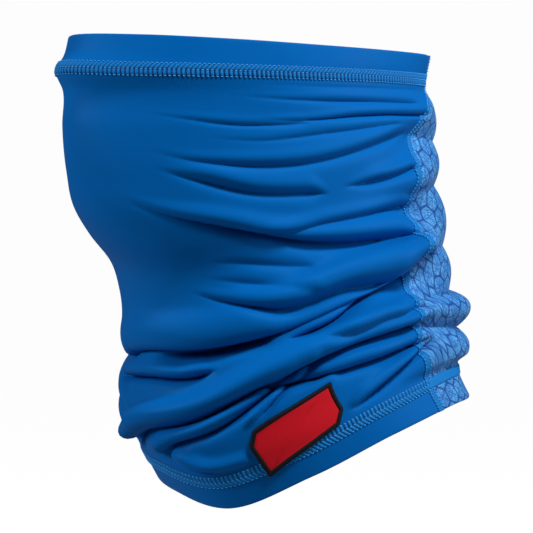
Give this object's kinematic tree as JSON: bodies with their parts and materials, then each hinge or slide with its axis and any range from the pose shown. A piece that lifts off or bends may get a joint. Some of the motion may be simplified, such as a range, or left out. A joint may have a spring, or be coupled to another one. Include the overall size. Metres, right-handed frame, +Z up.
{
  "type": "neck gaiter",
  "caption": "Worn stretch-knit neck gaiter: smooth front panel, gathered printed back panel, hemmed rims, flat seams, cover stitches and a bare bordered patch.",
  "frame": {"origin": "middle of the top opening, where the head comes through", "axes": "+Z up towards the top opening, the wearer faces -Y, +X is the wearer's left"},
  "size_m": [0.1699, 0.2614, 0.2656],
  "materials": {
    "front_knit": "smooth stretch knit with a soft sheen, royal blue",
    "back_knit": "heathered light blue knit with a darker line print",
    "blue_thread": "matte sewing thread",
    "patch_red": "plain woven red",
    "patch_black": "black stitched border"
  },
  "bodies": {
    "root": {"front_top_hem": "front_knit", "front_panel": "front_knit", "front_bottom_hem": "front_knit", "back_top_hem": "back_knit", "back_panel": "back_knit", "back_bottom_hem": "back_knit", "left_seam_upper": "blue_thread", "left_seam_middle": "blue_thread", "left_seam_lower": "blue_thread", "right_seam_upper": "blue_thread", "right_seam_middle": "blue_thread", "right_seam_lower": "blue_thread", "top_cover_stitch": "blue_thread", "bottom_cover_stitch": "blue_thread", "patch_border": "patch_black", "patch_face": "patch_red"}
  },
  "joints": []
}
